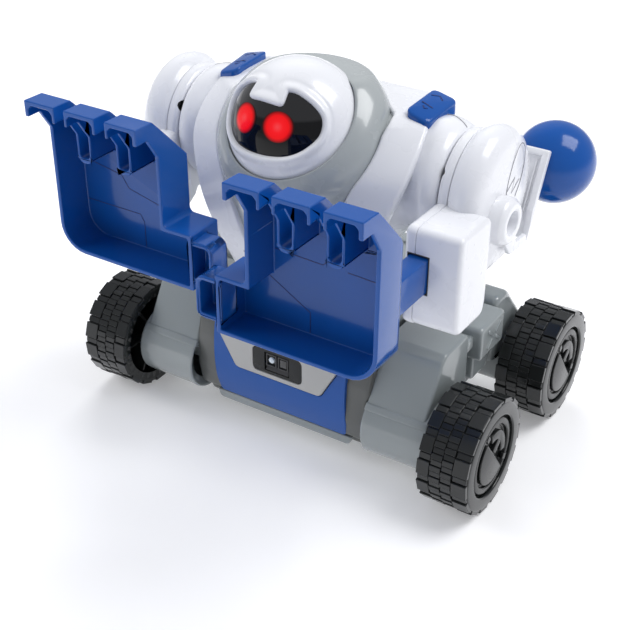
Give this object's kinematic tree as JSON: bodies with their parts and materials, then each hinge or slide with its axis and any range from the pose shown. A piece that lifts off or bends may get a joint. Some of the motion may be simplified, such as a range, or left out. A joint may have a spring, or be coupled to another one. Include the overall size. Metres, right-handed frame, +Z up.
{
  "type": "toy robot",
  "caption": "Wheeled toy robot: white torso and ball head with a dark visor, grey chassis, swinging arms with sliding blue hands, and a ball on a paddle.",
  "frame": {"origin": "centre of the footprint on the ground plane under the wheels", "axes": "+Z up, -Y the way the robot faces, +X its left side"},
  "size_m": [0.2308, 0.216, 0.2034],
  "materials": {
    "blue": "glossy royal blue moulding",
    "white": "glossy white moulding",
    "grey": "satin mid grey moulding",
    "pale_grey": "satin warm light grey moulding",
    "black": "glossy black moulding",
    "eye_red": "lit translucent red lens",
    "led_clear": "water-clear lamp",
    "sensor_black": "dark filter plastic",
    "steel": "bright zinc plate",
    "cell": "printed wrap over a steel can",
    "circuit": "green board",
    "speaker_black": "paper cone in a black basket",
    "natural": "natural off-white moulding"
  },
  "bodies": {
    "base": {"chassis_lower": "grey", "chassis_upper": "grey", "front_apron": "blue", "sensor_bezel": "pale_grey", "sensor_window": "black", "ir_led": "led_clear", "ir_receiver": "sensor_black", "battery_cover": "grey", "battery_1": "cell", "battery_2": "cell", "battery_3": "cell", "battery_4": "cell", "circuit_board": "circuit", "speaker": "speaker_black", "gearbox_left": "natural", "gearbox_right": "natural", "drive_motor_left": "steel", "drive_motor_right": "steel", "torso_front": "white", "torso_back": "white", "collar": "pale_grey"},
    "power_switch_knob": {"power_switch": "black"},
    "head": {"helmet": "white", "visor": "black", "neck_pivot": "grey", "eye_left": "eye_red", "eye_right": "eye_red"},
    "wheel_set_front_left": {"wheel_front_left": "black", "hub_front_left": "black", "axle_front_left": "steel"},
    "wheel_set_front_right": {"wheel_front_right": "black", "hub_front_right": "black", "axle_front_right": "steel"},
    "wheel_set_rear_left": {"wheel_rear_left": "black", "hub_rear_left": "black", "axle_rear_left": "steel"},
    "wheel_set_rear_right": {"wheel_rear_right": "black", "hub_rear_right": "black", "axle_rear_right": "steel"},
    "button_left": {"shoulder_button_left": "blue"},
    "arm_left": {"arm_inner_left": "white", "arm_outer_left": "white", "shoulder_shaft_left": "grey", "arm_screw_left": "steel", "elbow_boss_left": "white"},
    "punch_left": {"punch_bar_left": "blue", "hand_left": "blue"},
    "button_right": {"shoulder_button_right": "blue"},
    "arm_right": {"arm_inner_right": "white", "arm_outer_right": "white", "shoulder_shaft_right": "grey", "arm_screw_right": "steel", "elbow_boss_right": "white"},
    "punch_right": {"punch_bar_right": "blue", "hand_right": "blue"},
    "paddle": {"ball_paddle": "white", "paddle_ball": "blue"}
  },
  "joints": [
    {"name": "wheel_front_left_spin", "type": "hinge", "parent": "base", "child": "wheel_set_front_left", "pos_m": [0.1, -0.01326, 0.03], "axis": [1, 0, 0], "continuous": true},
    {"name": "wheel_front_right_spin", "type": "hinge", "parent": "base", "child": "wheel_set_front_right", "pos_m": [-0.1, -0.01326, 0.03], "axis": [1, 0, 0], "continuous": true},
    {"name": "wheel_rear_left_spin", "type": "hinge", "parent": "base", "child": "wheel_set_rear_left", "pos_m": [0.1, 0.07774, 0.03], "axis": [1, 0, 0], "continuous": true},
    {"name": "wheel_rear_right_spin", "type": "hinge", "parent": "base", "child": "wheel_set_rear_right", "pos_m": [-0.1, 0.07774, 0.03], "axis": [1, 0, 0], "continuous": true},
    {"name": "arm_left_swing", "type": "hinge", "parent": "base", "child": "arm_left", "pos_m": [0.073, 0.02124, 0.149], "axis": [-1, 0, 0], "range_deg": [-15, 50]},
    {"name": "arm_right_swing", "type": "hinge", "parent": "base", "child": "arm_right", "pos_m": [-0.073, 0.02124, 0.149], "axis": [-1, 0, 0], "range_deg": [-15, 50]},
    {"name": "hand_left_punch", "type": "slide", "parent": "arm_left", "child": "punch_left", "axis": [0, -0.9999, 0.014], "range_m": [-0.024, 0.004]},
    {"name": "hand_right_punch", "type": "slide", "parent": "arm_right", "child": "punch_right", "axis": [0, -1, 0], "range_m": [0, 0.028]},
    {"name": "head_turn", "type": "hinge", "parent": "base", "child": "head", "pos_m": [0, -0.00636, 0.1707], "axis": [0, -0.682, 0.7314], "range_deg": [-20, 20]},
    {"name": "button_left_press", "type": "slide", "parent": "base", "child": "button_left", "axis": [0, 0, -1], "range_m": [0, 0.0015], "stiffness_N_per_m": 400, "springref_m": -0.001},
    {"name": "button_right_press", "type": "slide", "parent": "base", "child": "button_right", "axis": [0, 0, -1], "range_m": [0, 0.0015], "stiffness_N_per_m": 400, "springref_m": -0.001},
    {"name": "paddle_swing", "type": "hinge", "parent": "arm_left", "child": "paddle", "pos_m": [0.0995, 0.01185, 0.14081], "axis": [1, 0, 0], "range_deg": [-10, 1]},
    {"name": "power_switch_slide", "type": "slide", "parent": "base", "child": "power_switch_knob", "axis": [1, 0, 0], "range_m": [0, 0.004]}
  ]
}
